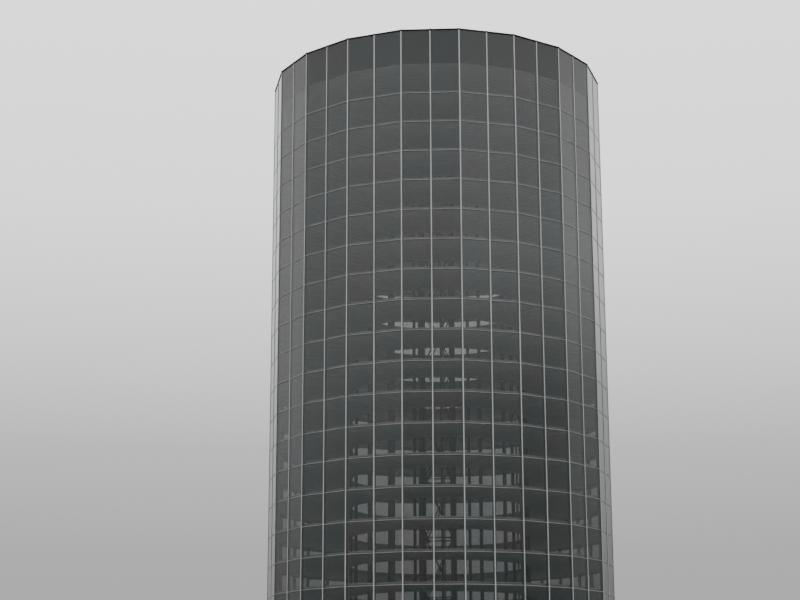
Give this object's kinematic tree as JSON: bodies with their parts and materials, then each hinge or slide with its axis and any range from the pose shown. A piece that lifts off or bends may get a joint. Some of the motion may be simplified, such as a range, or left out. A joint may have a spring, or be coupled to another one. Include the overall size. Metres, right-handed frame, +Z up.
{
  "type": "automated parking tower, 1:10 scale model",
  "caption": "Prismatic glass tower of stacked ring decks for parked cars round an open lift shaft with a lattice mast, as a 1:10 scale model.",
  "frame": {"origin": "centre of the flat underside of the base, on the tower's axis, at ground level", "axes": "+Z up along the tower's axis, -Y out through the middle of one glass face, +X to its right"},
  "size_m": [2.3978, 2.3897, 4.8],
  "materials": {
    "concrete": "cast concrete",
    "deck_steel": "galvanised sheet decking",
    "mullion_paint": "satin paint",
    "facade_glass": "clear float glass with a faint grey-green tint",
    "anodised_strip": "anodised",
    "anodised_cap": "anodised",
    "roof_sheet": "grey roofing",
    "attic_panel": "satin paint",
    "coping_paint": "satin paint",
    "galvanised_steel": "galvanised section steel",
    "mast_paint": "satin paint"
  },
  "bodies": {
    "root": {"attic_band": "attic_panel", "base_curb": "concrete", "base_slab": "concrete", "coping": "coping_paint", "corner_caps": "anodised_cap", "corner_mullions": "mullion_paint", "cover_strips": "anodised_strip", "deck_01": "deck_steel", "deck_02": "deck_steel", "deck_03": "deck_steel", "deck_04": "deck_steel", "deck_05": "deck_steel", "deck_06": "deck_steel", "deck_07": "deck_steel", "deck_08": "deck_steel", "deck_09": "deck_steel", "deck_10": "deck_steel", "deck_11": "deck_steel", "deck_12": "deck_steel", "deck_13": "deck_steel", "deck_14": "deck_steel", "deck_15": "deck_steel", "deck_16": "deck_steel", "deck_17": "deck_steel", "deck_18": "deck_steel", "deck_19": "deck_steel", "deck_20": "deck_steel", "deck_21": "deck_steel", "glass_panes": "facade_glass", "mast_back": "mast_paint", "mast_front": "mast_paint", "mast_left": "mast_paint", "mast_posts": "mast_paint", "mast_right": "mast_paint", "middle_caps": "anodised_cap", "middle_mullions": "mullion_paint", "roof_deck": "roof_sheet", "shaft_posts": "galvanised_steel"}
  },
  "joints": []
}
